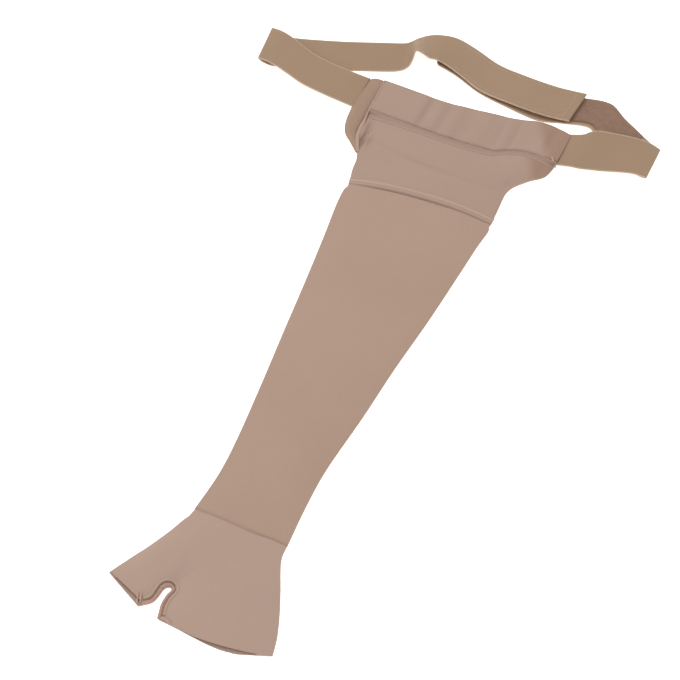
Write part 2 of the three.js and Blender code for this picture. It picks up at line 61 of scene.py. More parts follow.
def metres(point):
    return (Vector(point) + ORIGIN_SHIFT) * 0.001


print("wrist seam's middle stands at", metres((0, 0, 0)))

# %% [markdown]
# A garment's outline is a run of soft curves. A short table gives a few measured rows, and this rule
# (Catmull-Rom) draws the smooth curve that passes through every one of them. A curve object would do too,
# but its handles are harder to read than a row of sizes. The bump makes every dent, swell and ridge.

# %% Smooth curves through a table
def between(rows, share):
    last = len(rows) - 1
    place = min(max(share, 0.0), 1.0) * last
    i = min(int(place), last - 1)
    t = place - i
    near = [rows[min(max(i + k, 0), last)] for k in (-1, 0, 1, 2)]
    out = []
    for a, b, d, e in zip(*near):
        pull = 2 * a - 5 * b + 4 * d - e
        out.append(b + 0.5 * t * (d - a + t * (pull + t * (3 * (b - d) + e - a))))
    return out


def smoothed(rows, count):
    return [between(rows, k / (count - 1)) for k in range(count)]


def bump_at(value, centre, width):
    return math.exp(-((value - centre) / width) ** 2)


print("a curve through 0, 8 and 0:", [round(v[0], 2) for v in smoothed([[0], [8], [0]], 5)])

# %% [markdown]
# A sleeve lying flat is a tube pressed into two layers with a rounded fold at each side. The ring below
# is one slice of it: the upper layer, the right fold, the lower layer and the left fold. Its height can be
# pushed up or down by a function of the place, which is how shallow dents and swells get in.

# %% One slice of a flattened tube
LAYER_STEPS, FOLD_STEPS = 72, 8
LEAST_RISE = 2.4 * CLOTH  # keeps the upper layer off the lower one


def flat_ring(row, inset=0.0, edge=FOLD_RADIUS, swell=None, sharp=2.6,
              steps=LAYER_STEPS, spread=1.0, firm=12):
    left_x, left_y, right_x, right_y, crown, bow = row
    span = math.hypot(right_x - left_x, right_y - left_y)
    turn = edge - inset
    ring = []

    def put(reach, height, soft=0.0):
        share = reach / span
        x = left_x + (right_x - left_x) * share
        y = left_y + (right_y - left_y) * share + bow * (1 - (2 * share - 1) ** 2)
        if swell and soft > 0:
            height = max(height + soft * swell(x, y), LEAST_RISE - inset)
        ring.append((x, y, height))

    places = [(k / steps) ** spread for k in range(steps + 1)]
    for place in places:
        reach = edge + (span - 2 * edge) * place
        share = abs(2 * place - 1)
        put(reach, 2 * edge - inset + (crown - 2 * edge) * (1 - share ** sharp), 1 - share ** firm)
    for k in range(1, FOLD_STEPS):
        angle = math.pi * k / FOLD_STEPS
        put(span - edge + turn * math.sin(angle), edge + turn * math.cos(angle))
    for place in reversed(places):
        put(edge + (span - 2 * edge) * place, inset)
    for k in range(1, FOLD_STEPS):
        angle = math.pi * k / FOLD_STEPS
        put(edge - turn * math.sin(angle), edge - turn * math.cos(angle))
    return ring


print("points in one slice:", len(flat_ring((0, 0, 90, 0, 8, 0))))

# %% [markdown]
# A skin grows from one slice to the next. The first row of points is laid out, and its edges are then
# extruded again and again, each time onto the next slice. Every point remembers its place in the slice
# and its step along the piece, and from those two numbers the UV map is made, in metres of cloth.

# %% Growing a skin over slices
def as_object(name, bm):
    mesh = bpy.data.meshes.new(name)
    bm.to_mesh(mesh)
    bm.free()
    obj = bpy.data.objects.new(name, mesh)
    bpy.context.scene.collection.objects.link(obj)
    return obj


def grow_skin(name, slices, round_about, capped=False):
    bm = bmesh.new()
    turn = bm.verts.layers.int.new("turn")
    step = bm.verts.layers.int.new("step")
    count = len(slices[0])
    if round_about:
        bmesh.ops.create_circle(bm, segments=count, radius=1.0)
    else:
        row = [bm.verts.new((k, 0, 0)) for k in range(count)]
        for a, b in zip(row, row[1:]):
            bm.edges.new((a, b))
    bm.verts.ensure_lookup_table()
    for k, v in enumerate(bm.verts):
        v[turn] = k
        v.co = metres(slices[0][k])
    edges = list(bm.edges)
    first = list(edges)
    for s, points in enumerate(slices[1:], 1):
        grown = bmesh.ops.extrude_edge_only(bm, edges=edges)["geom"]
        fresh = {g for g in grown if isinstance(g, bmesh.types.BMVert)}
        for v in fresh:
            v[step] = s
            v.co = metres(points[v[turn]])
        edges = [g for g in grown if isinstance(g, bmesh.types.BMEdge) and set(g.verts) <= fresh]
    if capped:
        bmesh.ops.edgeloop_fill(bm, edges=first)
        bmesh.ops.edgeloop_fill(bm, edges=edges)
    bmesh.ops.recalc_face_normals(bm, faces=bm.faces)
    lay_out_cloth(bm, slices, turn, step, round_about)
    obj = as_object(name, bm)
    obj.data.shade_smooth()
    return obj


def lay_out_cloth(bm, slices, turn, step, round_about):
    uv = bm.loops.layers.uv.new("cloth")
    middle = slices[len(slices) // 2]
    across = [0.0]
    for a, b in zip(middle, middle[1:] + middle[:1]):
        across.append(across[-1] + (Vector(b) - Vector(a)).length * 0.001)
    along = [0.0]
    for a, b in zip(slices, slices[1:]):
        k = len(a) // 2
        along.append(along[-1] + (Vector(b[k]) - Vector(a[k])).length * 0.001)
    count = len(middle)
    for face in bm.faces:
        turns = [v[turn] for v in face.verts]
        wraps = round_about and max(turns) - min(turns) > count / 2
        for loop in face.loops:
            k = loop.vert[turn]
            if wraps and k < count / 2:
                k += count
            loop[uv].uv = (across[min(k, count)], along[loop.vert[step]])


# %% [markdown]
# Cloth has a thickness. The Solidify modifier gives a skin its second face and closes the rim, inwards for
# a tube, so that the outside keeps its size, and to both sides for a ribbon. Each modifier is settled into
# the mesh at once, because the next step, such as a cut or a measured height, needs the finished shape.

# %% Thickness, joining and finishing
def thicken(obj, thickness, offset):
    wall = obj.modifiers.new("wall", "SOLIDIFY")
    wall.thickness = thickness * 0.001
    wall.offset = offset
    wall.use_even_offset = True
    settle(obj)


def settle(obj):
    made = bpy.data.meshes.new_from_object(obj.evaluated_get(bpy.context.evaluated_depsgraph_get()))
    old = obj.data
    obj.modifiers.clear()
    obj.data = made
    made.name = obj.name
    bpy.data.meshes.remove(old)
    obj.data.shade_smooth()


def combine(base, tool, operation):
    cut = base.modifiers.new("cut", "BOOLEAN")
    cut.operation = operation
    cut.object = tool
    cut.solver = "MANIFOLD"
    settle(base)
    bpy.data.objects.remove(tool)
    return base


def top_of(obj):
    bm = bmesh.new()
    bm.from_mesh(obj.data)
    tree = BVHTree.FromBMesh(bm)
    bm.free()

    def height(x, y, missing=0.0):
        hit = tree.ray_cast(metres((x, y, 60)), Vector((0, 0, -1)))[0]
        return hit.z * 1000 if hit else missing

    return height


def dress(obj, material, nodes):
    obj.data.materials.clear()
    obj.data.materials.append(material)
    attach(obj, "root")
    if nodes:
        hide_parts(*nodes)
    triangles = sum(len(p.vertices) - 2 for p in obj.data.polygons)
    print(obj.name, "has", triangles, "triangles")
    return obj


# %% [markdown]
# ## Cloth finishes
# A finish is a small tree of shader nodes. The same few steps come back in every cloth, so each has a
# short helper here: wave, mottle, weighted sum, blend of two tones and graded tint.

# %% Node helpers
def node_set(name):
    material = bpy.data.materials.new(name)
    material.use_nodes = True
    return material, material.node_tree, material.node_tree.nodes["Principled BSDF"]


def add(tree, kind, **values):
    node = tree.nodes.new(kind)
    for key, value in values.items():
        if isinstance(value, bpy.types.NodeSocket):
            tree.links.new(value, node.inputs[key])
        elif hasattr(node, key) and key not in node.inputs:
            setattr(node, key, value)
        else:
            node.inputs[key].default_value = value
    return node


def ramped(tree, factor, stops, interpolation):
    node = add(tree, "ShaderNodeValToRGB", Fac=factor)
    ramp = node.color_ramp
    ramp.interpolation = interpolation
    for element, (at, tone) in zip(ramp.elements, (stops[0], stops[-1])):
        element.position = at
        element.color = (*tone, 1)
    for at, tone in stops[1:-1]:
        ramp.elements.new(at).color = (*tone, 1)
    return node.outputs["Color"]


def blend_tones(tree, factor, tone, low, high):
    return ramped(tree, factor, [(0.0, shade(tone, low)), (1.0, shade(tone, high))], "LINEAR")


def shade(tone, amount):
    return tuple(min(1.0, c * amount) for c in tone)


def graded(tree, colour, place, stops):
    tints = [(at, level if isinstance(level, tuple) else (level, level, level)) for at, level in stops]
    tint = ramped(tree, place, tints, "EASE")
    mix = add(tree, "ShaderNodeMix", data_type="RGBA", blend_type="MULTIPLY", Factor=1.0, A=colour, B=tint)
    return mix.outputs["Result"]


def cloth_uv(tree):
    return add(tree, "ShaderNodeUVMap", uv_map="cloth").outputs["UV"]


def from_object(tree):
    return add(tree, "ShaderNodeTexCoord").outputs["Object"]


def along_uv(tree, axis):
    return add(tree, "ShaderNodeSeparateXYZ", Vector=cloth_uv(tree)).outputs[axis]


def wave(tree, coords, direction, pitch, distortion=0.0):
    return add(tree, "ShaderNodeTexWave", wave_type="BANDS", bands_direction=direction, wave_profile="SIN",
               Vector=coords, Scale=math.pi / (10.0 * pitch), Distortion=distortion).outputs["Fac"]


def mottle(tree, coords, scale, detail, roughness=0.5):
    return add(tree, "ShaderNodeTexNoise", Vector=coords, Scale=scale, Detail=detail,
               Roughness=roughness).outputs["Fac"]


def mixed(tree, kind, a, b):
    node = add(tree, "ShaderNodeMath", operation=kind)
    for socket, value in zip(node.inputs, (a, b)):
        if isinstance(value, (int, float)):
            socket.default_value = value
        else:
            tree.links.new(value, socket)
    return node.outputs["Value"]


def weighted(tree, *parts):
    shares = [mixed(tree, "MULTIPLY", value, weight) for value, weight in parts]
    total = shares[0]
    for share in shares[1:]:
        total = mixed(tree, "ADD", total, share)
    return total


def against(tree, coords, kind, vector):
    node = add(tree, "ShaderNodeVectorMath", operation=kind)
    tree.links.new(coords, node.inputs[0])
    node.inputs[1].default_value = vector
    return node.outputs["Value"]


def finished(made, colour, height, depth, strength, roughness, sheen, sheen_tone):
    material, tree, shader = made
    bump = add(tree, "ShaderNodeBump", Strength=strength, Distance=depth, Height=height)
    tree.links.new(colour, shader.inputs["Base Color"])
    tree.links.new(bump.outputs["Normal"], shader.inputs["Normal"])
    shader.inputs["Roughness"].default_value = roughness
    shader.inputs["Specular IOR Level"].default_value = 0.25
    shader.inputs["Sheen Weight"].default_value = sheen
    shader.inputs["Sheen Roughness"].default_value = 0.5
    shader.inputs["Sheen Tint"].default_value = (*sheen_tone, 1)
    return material


# %% [markdown]
# A jersey knit shows upright columns of loops, crossed by courses. An image would need to be laid out and
# would blur up close, so two waves on the object's own coordinates are multiplied into a field of small
# bumps. Slow noise shifts the tone a little, as dye does, and a trace of sheen stands for fine hairs.
# Painted
# shade can be added to the tone: in the band's fold troughs, towards the right end and in one crease.

# %% The knit
# Painted shade: over a short fade towards the right end, where the cloth turns down, the knit darkens and
# warms.
RIGHTWARD, END_SHADE_FADE = (0.89, 0.455, 0.0), 0.015
END_SHADE_TONES = [(0.0, 1.0), (1.0, (0.85, 0.775, 0.72))]
# Painted shade: the tone darkens round one point, in the cap's deep crease.
HOLLOW_SHADE_TONES = [(0.0, 0.7), (0.4, 0.82), (0.75, 0.96), (1.0, 1.0)]


def knit(name, tone, column=0.0011, course=0.0008, fold_shade=None, shaded_right_end=None, hollow_shade=None):
    made = node_set(name)
    tree = made[1]
    coords = from_object(tree)
    slow, fine = mottle(tree, coords, 9.0, 2.0), mottle(tree, coords, 420.0, 3.0)
    loops = mixed(tree, "MULTIPLY", wave(tree, coords, "X", column), wave(tree, coords, "Y", course, 0.6))
    colour = blend_tones(tree, weighted(tree, (slow, 0.55), (fine, 0.3), (loops, 0.15)), tone, 0.9, 1.1)
    # Painted shade: the tone dips in the troughs of the band's folds.
    if fold_shade:
        colour = graded(tree, colour, mixed(tree, "DIVIDE", along_uv(tree, "Y"), fold_shade[0]), fold_shade[1])
    # Painted shade towards the right end.
    if shaded_right_end:
        beyond_start = mixed(tree, "SUBTRACT", against(tree, coords, "DOT_PRODUCT", RIGHTWARD), shaded_right_end)
        colour = graded(tree, colour, mixed(tree, "DIVIDE", beyond_start, END_SHADE_FADE), END_SHADE_TONES)
    # Painted shade in one crease.
    if hollow_shade:
        apart = against(tree, coords, "DISTANCE", hollow_shade[0])
        colour = graded(tree, colour, mixed(tree, "DIVIDE", apart, hollow_shade[1]), HOLLOW_SHADE_TONES)
    return finished(made, colour, loops, 0.00025, 0.6, 0.9, 0.04, (1.0, 0.93, 0.88))


# %% [markdown]
# The strap is a woven elastic: fine ribs run across it, the rubber threads run along it, and both edges
# are closed by a thin pale selvage, whose colour also stands for a painted highlight on the lit edges. Its
# UV map has the width in U and the length in V, so the weave follows the strap round its folds.

# %% The woven elastic
# The pale edge colour is the selvage's own and also a painted highlight on the strap's lit edges.
RIB_PITCH, THREAD_PITCH, SELVAGE_AND_HIGHLIGHT_WIDE = 0.0014, 0.0009, 0.0011
SELVAGE_AND_HIGHLIGHT_TONE = (0.50, 0.365, 0.265, 1)


def woven_elastic(name, tone, width=0.05):
    made = node_set(name)
    tree, uv = made[1], cloth_uv(made[1])
    off_middle = mixed(tree, "ABSOLUTE", mixed(tree, "SUBTRACT", along_uv(tree, "X"), width / 2), 0)
    # Pale edge band: selvage colour and painted highlight.
    selvage_and_highlight = mixed(tree, "GREATER_THAN", off_middle, width / 2 - SELVAGE_AND_HIGHLIGHT_WIDE)
    slow = mottle(tree, from_object(tree), 16.0, 3.0)
    weave = weighted(tree, (wave(tree, uv, "Y", RIB_PITCH), 0.7), (wave(tree, uv, "X", THREAD_PITCH), 0.3))
    body = blend_tones(tree, weighted(tree, (weave, 0.35), (slow, 0.5)), tone, 0.86, 1.12)
    mix = add(tree, "ShaderNodeMix", data_type="RGBA", Factor=selvage_and_highlight, A=body, B=SELVAGE_AND_HIGHLIGHT_TONE)
    return finished(made, mix.outputs["Result"], weave, 0.0003, 0.6, 0.8, 0.1, (1.0, 0.93, 0.84))


# %% [markdown]
# The loop half of the fastening is a brushed pile: it catches light at its edges and is mottled, so coarse
# noise sets both its tone and its height. Thread is the same at a finer scale. A sewn seam shows short
# slanting threads, darker between them. A list of tones across its width, from the UV map, adds painted
# shade under the hem's lower edge and in its grooves, painted highlight on its ridges, and on the band's
# seam the seam's own darker tone with painted shade along the band's edge.

# %% The brushed pile and the sewn seams
STITCH_SLANT = 0.5


def fibres(name, tone, noise_values, contrast, *surface):
    made = node_set(name)
    tufts = mottle(made[1], from_object(made[1]), *noise_values)
    return finished(made, blend_tones(made[1], tufts, tone, *contrast), tufts, *surface)


def thread(name, tone):
    return fibres(name, tone, (900.0, 2.0), (0.78, 1.2), 0.0002, 0.6, 0.7, 0.1, (1.0, 0.93, 0.86))


def brushed_pile(name, tone):
    return fibres(name, tone, (150.0, 6.0, 0.7), (0.62, 1.35), 0.0009, 0.8, 1.0, 0.45, shade(tone, 2.2))


def sewn(name, tone, pitch=0.0026, contrast=0.1, tone_and_shade_stripes=None):
    made = node_set(name)
    tree, uv = made[1], cloth_uv(made[1])
    tilt = add(tree, "ShaderNodeMapping", Vector=uv, Rotation=(0, 0, STITCH_SLANT))
    threads = wave(tree, tilt.outputs["Vector"], "X", pitch)
    tonal = weighted(tree, (threads, 0.7), (mottle(tree, uv, 300.0, 2.0), 0.3))
    colour = blend_tones(tree, tonal, tone, 1 - contrast, 1 + contrast)
    # Painted shade and highlight across the seam's width; on the band's seam also its own darker tone.
    if tone_and_shade_stripes:
        axis, width, tones = tone_and_shade_stripes
        colour = graded(tree, colour, mixed(tree, "DIVIDE", along_uv(tree, axis), width), tones)
    return finished(made, colour, threads, 0.0004, 0.8, 0.85, 0.1, (1.0, 0.93, 0.88))


# %% [markdown]
# The light is even, so the pieces are told apart by their tone: hand end and arm are lightest, cap and band
# a shade deeper, the panel browner and the strap yellower. Lists of tones add painted shade to folds,
# grooves and one crease, and painted highlight to the hem's ridges.

# %% Tones of this sleeve
ARM_KNIT = knit("arm_knit", (0.427, 0.293, 0.224))
HAND_KNIT = knit("hand_knit", (0.445, 0.312, 0.248))
# The cap's knit carries painted shade towards its right end and in its deep crease.
CAP_KNIT = knit("cap_knit", (0.415, 0.288, 0.226), shaded_right_end=0.205, hollow_shade=((-0.0655, 0.1985, 0.005), 0.011))
PANEL_KNIT = knit("panel_knit", (0.365, 0.240, 0.176))
# Painted shade: the band's tone dips in the troughs of its folds.
BAND_FOLD_SHADE_TONES = [
    (0, 1), (0.22, 1), (0.253, 0.92), (0.285, 1), (0.315, 1), (0.34, 0.945), (0.37, 1), (0.4, 0.99),
    (0.435, 0.95), (0.475, 1), (0.55, 0.99), (0.586, 0.965), (0.63, 1), (0.665, 1), (0.694, 0.95),
    (0.725, 1), (0.88, 1), (1, 0.97),
]
# The band takes the same painted shade towards its right end.
BAND_KNIT = knit("band_knit", (0.404, 0.280, 0.220), 0.0018, 0.0012, (0.235, BAND_FOLD_SHADE_TONES), 0.2245)
STRAP_WEAVE = woven_elastic("strap_weave", (0.354, 0.236, 0.151))
PILE = brushed_pile("brushed_pile", (0.25, 0.152, 0.108))
HOOKS = brushed_pile("hook_tape", (0.31, 0.21, 0.15))
# Painted shade and highlight across the hem: darkest under its lower edge, dark in its grooves, light on its
# ridges.
HEM_SHADE_AND_HIGHLIGHT = [
    (0, 0.62), (0.13, 0.64), (0.22, 0.86), (0.31, 0.9), (0.41, 0.76), (0.48, 0.78), (0.6, 1), (0.74, 1),
    (0.84, 0.78), (0.92, 0.8), (1, 0.92),
]
HEM_SEWN = sewn("hem_sewn", (0.480, 0.332, 0.255), contrast=0.05, tone_and_shade_stripes=("Y", 0.0108, HEM_SHADE_AND_HIGHLIGHT))
WRIST_SEWN = sewn("wrist_sewn", (0.375, 0.248, 0.187), pitch=0.002)
# The band seam's own darker tone, fading into the cap, with painted shade along the band's edge.
SEAM_TONE_AND_SHADE = [(0, 0.9), (0.12, 0.88), (0.3, 0.83), (0.5, 0.82), (0.7, 0.86), (0.85, 0.92), (1, 1)]
BAND_SEWN = sewn("band_sewn", (0.415, 0.284, 0.220), contrast=0.05, tone_and_shade_stripes=("X", 0.0098, SEAM_TONE_AND_SHADE))
EDGE_SEWN = sewn("edge_sewn", (0.45, 0.29, 0.225), pitch=0.002)
TAPE_SEWN = sewn("tape_sewn", (0.455, 0.318, 0.250), pitch=0.002, contrast=0.06)
TACK_SEWN = sewn("tack_stitches", (0.53, 0.375, 0.30), pitch=0.002, contrast=0.06)
print("finishes made:", len(bpy.data.materials))

# %% [markdown]
# ## The arm tube
# The real one is a seamless knit tube that narrows to the wrist. It is one skin over slices that follow
# the two folds seen in the photograph. Very shallow swells keep the upper layer from being dead flat.

# %% Arm tube
ARM_ROWS = [  # share of the arm's length, left fold, right fold, crown
    (0.005, -0.56, 0.578, 0.93),
    (0.1, -0.52, 0.56, 0.96),
    (0.2, -0.545, 0.573, 1),
    (0.35, -0.625, 0.668, 1),
    (0.5, -0.715, 0.745, 1),
    (0.65, -0.8, 0.845, 1),
    (0.8, -0.895, 0.925, 1),
    (0.9, -0.965, 0.975, 1),
    (0.955, -0.985, 1.015, 1),
    (0.97, -0.965, 1, 1),
]
HEM_SLANT, TOP_BOW, WRIST_BOW = 9.0, 4.0, 3.0


def arm_row(row):
    along, left, right, crown = row
    lean = HEM_SLANT * along ** 3
    y = ARM_LENGTH * along
    bow = TOP_BOW * along ** 3 - WRIST_BOW * (1 - along) ** 4
    return [ARM_TOP_HALF * left, y - lean / 2, ARM_TOP_HALF * right, y + lean / 2, TUBE_CROWN * crown, bow]


def arm_swell(x, y):
    broad = noise.noise(Vector((x / 55, y / 90, 3.1)))
    return 0.7 * broad - 0.5 * bump_at(y, 395, 14) * math.sin(x / 26)


arm_rows = smoothed([arm_row(r) for r in ARM_ROWS], 120)
UNDER_WRIST, UNDER_HEM = 1.6, 4.0  # how far the tube runs on below its seams
for side in (1, 3):
    arm_rows[0][side] -= UNDER_WRIST
    arm_rows[-1][side] += UNDER_HEM
arm_tube = grow_skin("arm_tube", [flat_ring(r, swell=arm_swell) for r in arm_rows], True)
thicken(arm_tube, CLOTH, -1)
dress(arm_tube, ARM_KNIT, ["arm_sleeve"])

# %% [markdown]
# ## Seams round the tube
# Two sewn rings cross the arm: a narrow flat one at the wrist, and the hem below the cap, which has two
# ridges with a groove between them. Both are short skins with a wavy profile across their width.

# %% Wrist seam and cap hem
def sewn_ring(name, row, width, profile, steps, flare=(0.0, 0.0)):
    slices = []
    for s in range(steps + 1):
        share = s / steps - 0.5
        proud = profile(share)
        left_x, left_y, right_x, right_y, crown, bow = row
        y = width * share
        left_x -= 0.35 * proud + flare[0] * (share + 0.5)
        right_x += 0.35 * proud + flare[1] * (share + 0.5)
        slices.append(flat_ring([left_x, left_y + y, right_x, right_y + y, crown + proud, bow]))
    ring = grow_skin(name, slices, True)
    thicken(ring, CLOTH, -1)
    return ring


wrist_row = arm_row(ARM_ROWS[0])
hem_row = arm_row(ARM_ROWS[-1])
for side in (1, 3):
    wrist_row[side] -= SEAM_WIDTH / 2 + GAP
    hem_row[side] += HEM_WIDTH / 2 + GAP
HEM_HIGHER, HEM_DEEP = 4.5, 10.8
hem_place = list(hem_row)
hem_place[0] += 0.4
for side in (1, 3):
    hem_place[side] += HEM_HIGHER


def low_crown(share):
    return 0.22 * math.cos(math.pi * share)


def two_ridges(share):
    return 0.65 + 0.6 * share + bump_at(share, -0.2, 0.17) + bump_at(share, 0.2, 0.17)


wrist_seam = sewn_ring("wrist_flat_seam", wrist_row, SEAM_WIDTH + 0.2, low_crown, 6)
dress(wrist_seam, WRIST_SEWN, ["wrist_seam"])
hem = sewn_ring("double_ridged_hem", hem_place, HEM_DEEP, two_ridges, 22, (2.4, 0.7))
dress(hem, HEM_SEWN, ["cap_hem"])

# %% [markdown]
# ## The hand end
# The palm and the thumb are two flattened tubes that share the wrist. Each is grown as a closed solid,
# the two are joined, and the same is done a cloth's thickness further in for the hollow. A branching tube
# could be modelled by hand, but two joined ones keep both outlines in short tables.

# %% Hand end
PALM_ROWS = [  # left x, left y, right x, right y, crown, bow
    (-0.88, 0.15, 0.928, 0.15, 0.95, 0.5),
    (-0.6, 0.4, 1.153, 0.4, 0.98, 0.5),
    (-0.5, 0.6, 1.325, 0.6, 1, 0.5),
    (-0.5, 0.76, 1.44, 0.76, 1, 0.7),
    (-0.54, 0.9, 1.49, 0.86, 0.88, 0.8),
    (-0.5, 1.03, 1.52, 0.94, 0.68, 1),
]
THUMB_ROWS = [
    (-0.949, 0.13, 0.2, 0.25, 0.84, 0),
    (-1.065, 0.28, -0.05, 0.5, 0.92, 0),
    (-1.253, 0.48, -0.48, 0.7, 0.94, 0),
    (-1.416, 0.63, -0.62, 0.84, 0.96, 0),
    (-1.61, 0.815, -0.81, 0.985, 0.66, 0),
]
PALM_UNDER = [  # the lower layer's edge at the palm
    (-0.66, 1.032), (-0.3, 1.032), (0.15, 1.049), (0.52, 1.059),
    (0.87, 1.047), (1.17, 0.997), (1.52, 0.93), (1.75, 0.88),
]
PALM_BOW, THUMB_ROOT, LAYERS_PART = 6.0, 0.3, 2.4
BELOW_ALL, ABOVE_ALL = -8, 24
NOTCH_PATH = [  # x as a share of the palm's half width, y as a share of the hand's length
    (-0.9, 0.986), (-0.785, 0.945), (-0.717, 0.912), (-0.685, 0.871),
    (-0.67, 0.821), (-0.658, 0.777), (-0.623, 0.743), (-0.558, 0.726),
    (-0.496, 0.739), (-0.479, 0.768), (-0.506, 0.807), (-0.517, 0.857),
    (-0.515, 0.91), (-0.492, 0.958), (-0.457, 1.025),
]
BINDING_WIDTH = 3.0


def hand_row(row):
    units = (PALM_HALF, -HAND_LENGTH, PALM_HALF, -HAND_LENGTH, TUBE_CROWN, -PALM_BOW)
    return [unit * share for unit, share in zip(units, row)]


def past(rows, reach):
    return [v + (v - p) * reach if c < 4 else v for c, (v, p) in enumerate(zip(rows[-1], rows[-2]))]


def hand_swell(x, y):
    valley = -1.5 * bump_at(x, -25, 6) * bump_at(y, -56, 17)
    return valley + 0.6 * noise.noise(Vector((x / 30, y / 34, 8.2)))


def hand_solid(name, start, rows, inset):
    run = smoothed([start] + [hand_row(r) for r in rows], 46)
    spare = 8 if inset > 0 else 4
    run = [past(run[::-1], spare)] + run + [past(run, spare)]
    return grow_skin(name, [flat_ring(r, inset, swell=hand_swell) for r in run], True, capped=True)


def cutter(name, outline, low, high):
    return grow_skin(name, [[(x, y, z) for x, y in outline] for z in (low, high)], True, capped=True)


def with_corners(line, outward):
    return line + [(line[-1][0], line[-1][1] + outward), (line[0][0], line[0][1] + outward)]


def beyond(row, outward, count=24):
    left_x, left_y, right_x, right_y, _, bow = row
    line = []
    for k in range(count + 1):
        share = -0.25 + 1.5 * k / count
        arch = bow * (1 - (2 * share - 1) ** 2)
        line.append((left_x + (right_x - left_x) * share, left_y + (right_y - left_y) * share + arch))
    return with_corners(line, outward)


def both_tubes(inset):
    palm = hand_solid("palm", wrist_end, PALM_ROWS, inset)
    thumb = hand_solid("thumb", thumb_start, THUMB_ROWS, inset)
    return combine(palm, thumb, "UNION")


wrist_end = list(wrist_row)
wrist_end[1] -= SEAM_WIDTH / 2 - 0.5
wrist_end[3] -= SEAM_WIDTH / 2 - 0.5
thumb_start = [wrist_end[0], wrist_end[1] - 2 * WRIST_BOW, PALM_HALF * THUMB_ROOT,
               wrist_end[3] - 2 * WRIST_BOW, wrist_end[4] - 1.4, 0]
notch = [(PALM_HALF * x, -HAND_LENGTH * y) for x, y in smoothed(NOTCH_PATH, 110)]
notch_ends = [tuple((Vector(a) - Vector(b)) * 6 + Vector(a))
              for a, b in ((notch[0], notch[1]), (notch[-1], notch[-2]))]
hand = combine(both_tubes(0), both_tubes(CLOTH + 0.1), "DIFFERENCE")
hand.name = "hand_end"
print("hand end before remeshing:", len(hand.data.polygons), "faces")

# %% [markdown]
# Joining two solids leaves a hard crease, which the real knit doesn't have. A fine voxel remesh and a few
# rounds of smoothing melt it into one soft skin.

# %% Melt the hand end into one skin
melt = hand.modifiers.new("melt", "REMESH")
melt.mode = "VOXEL"
melt.voxel_size = 0.00085
settle(hand)
bm = bmesh.new()
bm.from_mesh(hand.data)
for _ in range(8):
    bmesh.ops.smooth_vert(bm, verts=bm.verts, factor=0.5, use_axis_x=True, use_axis_y=True, use_axis_z=True)
bm.to_mesh(hand.data)
bm.free()
print("hand end after remeshing:", len(hand.data.polygons), "faces")

# %% [markdown]
# The openings are cut after the remesh, so that their edges stay crisp: the wrist, the palm, the thumb and
# the notch each take one upright cutter whose outline is the edge seen in the photograph.

# %% Cut the openings of the hand end
def left_of_notch(outline):
    return [(min(x, notch[0][0] + 4), y) for x, y in outline]


thumb_edge = hand_row(THUMB_ROWS[-1])
thumb_upper, thumb_under = list(thumb_edge), list(thumb_edge)
thumb_upper[3] += 2.8
thumb_under[1] -= 1.2
thumb_under[3] -= 2.6
palm_under = with_corners([(PALM_HALF * x, -HAND_LENGTH * y) for x, y in smoothed(PALM_UNDER, 40)], -20)
cuts = [  # name, outline, from and to which height
    ("wrist_cut", beyond(wrist_end, 20), BELOW_ALL, ABOVE_ALL),
    ("palm_upper_cut", beyond(hand_row(PALM_ROWS[-1]), -20), LAYERS_PART, ABOVE_ALL),
    ("palm_under_cut", palm_under, BELOW_ALL, LAYERS_PART),
    ("thumb_upper_cut", left_of_notch(beyond(thumb_upper, -30)), LAYERS_PART, ABOVE_ALL),
    ("thumb_under_cut", left_of_notch(beyond(thumb_under, -30)), BELOW_ALL, LAYERS_PART),
    ("notch_cut", [notch_ends[0]] + notch + [notch_ends[1]], BELOW_ALL, ABOVE_ALL),
]
for name, outline, low, high in cuts:
    hand = combine(hand, cutter(name, outline, low, high), "DIFFERENCE")
dress(hand, HAND_KNIT, ["hand_gauntlet"])

# %% [markdown]
# ## The bound edge of the notch
# A folded strip of knit covers the raw edge between thumb and palm. A rounded profile is carried along the
# notch, as high as the cloth there, and a softer fold beside it leaves a groove for the stitches.

# %% Bound edge
def carried_profile(name, path, profile, size_at=None):
    slices = []
    for i, p in enumerate(path):
        side = beside(path, i)
        base = p[2] if len(p) > 2 else 0.0
        wide, tall = size_at(i) if size_at else (1.0, 1.0)
        slices.append([(p[0] + side.x * u * wide, p[1] + side.y * u * wide, base + w * tall)
                       for u, w in profile])
    return grow_skin(name, slices, True, capped=True)


def beside(path, i):
    a, b = Vector(path[max(i - 1, 0)][:2]), Vector(path[min(i + 1, len(path) - 1)][:2])
    along = (b - a).normalized()
    return Vector((-along.y, along.x))


def moved_aside(path, reach, height=None):
    out = []
    for i, p in enumerate(path):
        x, y = Vector(p[:2]) + beside(path, i) * reach
        out.append((x, y, height(x, y)) if height else (x, y))
    return out


def bound_profile(width, high, count=28):
    points = []
    for k in range(count):
        angle = 2 * math.pi * (k + 0.5) / count
        u = math.copysign(abs(math.cos(angle)) ** 0.6, math.cos(angle)) * width / 2
        points.append((u, (1 + math.copysign(abs(math.sin(angle)) ** 0.6, math.sin(angle))) * high / 2))
    return points


hand_top = top_of(hand)
wall = [p[2] + 0.5 for p in moved_aside(notch, 1.8, lambda x, y: hand_top(x, y, 5.0))]
bound = bound_profile(BINDING_WIDTH, 1.0)
binding = carried_profile("notch_binding", notch, bound, lambda i: (1.0, wall[i]))
dress(binding, EDGE_SEWN, ["thumb_web_binding"])
fold_path = moved_aside(notch, 4.1, lambda x, y: hand_top(x, y, 5.0) - 0.45)[6:-3]
second_fold = carried_profile("notch_second_fold", fold_path, bound_profile(2.6, 1.25, 16))
dress(second_fold, HAND_KNIT, [])

